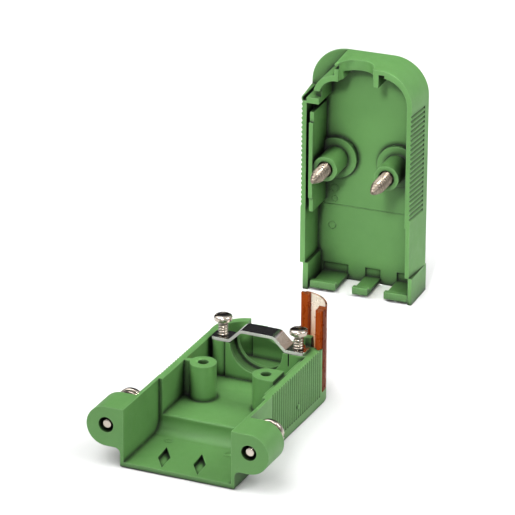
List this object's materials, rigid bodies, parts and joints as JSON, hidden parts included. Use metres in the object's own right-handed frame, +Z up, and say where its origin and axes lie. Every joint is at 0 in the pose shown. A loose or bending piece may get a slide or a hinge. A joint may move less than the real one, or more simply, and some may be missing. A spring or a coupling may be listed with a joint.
{
  "type": "connector hood",
  "caption": "Two-part strain relief hood for a pluggable terminal connector, with flange ears, cable saddle and strap, corner insert and captive screws, shown opened.",
  "frame": {"origin": "on the mating face of the base shell, in the middle of its width, at its underside", "axes": "+X to the right, +Y from the plug towards the cable, +Z up from the underside of the base towards the cover"},
  "size_m": [0.0518, 0.1403, 0.0697],
  "materials": {
    "shell_plastic": "fine satin moulded green",
    "insert_plastic": "smooth translucent orange",
    "strap_steel": "bright rolled and plated",
    "screw_nickel": "nickel plated"
  },
  "bodies": {
    "base": {"base_shell": "shell_plastic"},
    "cover": {"cover_shell": "shell_plastic"},
    "insert": {"corner_insert": "insert_plastic"},
    "strap": {"strain_relief_strap": "strap_steel"},
    "strap_screw_left": {"strap_screw_left": "screw_nickel"},
    "strap_screw_right": {"strap_screw_right": "screw_nickel"},
    "flange_screw_left": {"flange_screw_left": "screw_nickel"},
    "flange_screw_right": {"flange_screw_right": "screw_nickel"},
    "cover_screw_left": {"cover_screw_left": "screw_nickel"},
    "cover_screw_right": {"cover_screw_right": "screw_nickel"}
  },
  "joints": [
    {"name": "cover_lift", "type": "slide", "parent": "base", "child": "cover", "axis": [0, 0, 1], "range_m": [0, 0.07]},
    {"name": "insert_lift", "type": "slide", "parent": "base", "child": "insert", "axis": [0, 0, 1], "range_m": [0, 0.026]},
    {"name": "strap_play", "type": "slide", "parent": "base", "child": "strap", "axis": [0, 0, 1], "range_m": [0, 0.0041]},
    {"name": "strap_screw_left_turn", "type": "hinge", "parent": "base", "child": "strap_screw_left", "pos_m": [-0.011, 0.053, 0.0216], "axis": [0, 0, 1], "continuous": true},
    {"name": "strap_screw_right_turn", "type": "hinge", "parent": "base", "child": "strap_screw_right", "pos_m": [0.011, 0.053, 0.0216], "axis": [0, 0, 1], "continuous": true},
    {"name": "flange_screw_left_slide", "type": "slide", "parent": "base", "child": "flange_screw_left", "axis": [0, 1, 0], "range_m": [-0.0022, 0.002]},
    {"name": "flange_screw_right_slide", "type": "slide", "parent": "base", "child": "flange_screw_right", "axis": [0, 1, 0], "range_m": [0, 0.0042]},
    {"name": "cover_screw_left_slide", "type": "slide", "parent": "cover", "child": "cover_screw_left", "axis": [-0.0523, 0.9986, 0], "range_m": [-0.0015, 0.01]},
    {"name": "cover_screw_right_slide", "type": "slide", "parent": "cover", "child": "cover_screw_right", "axis": [-0.0523, 0.9986, 0], "range_m": [0, 0.0115]}
  ]
}
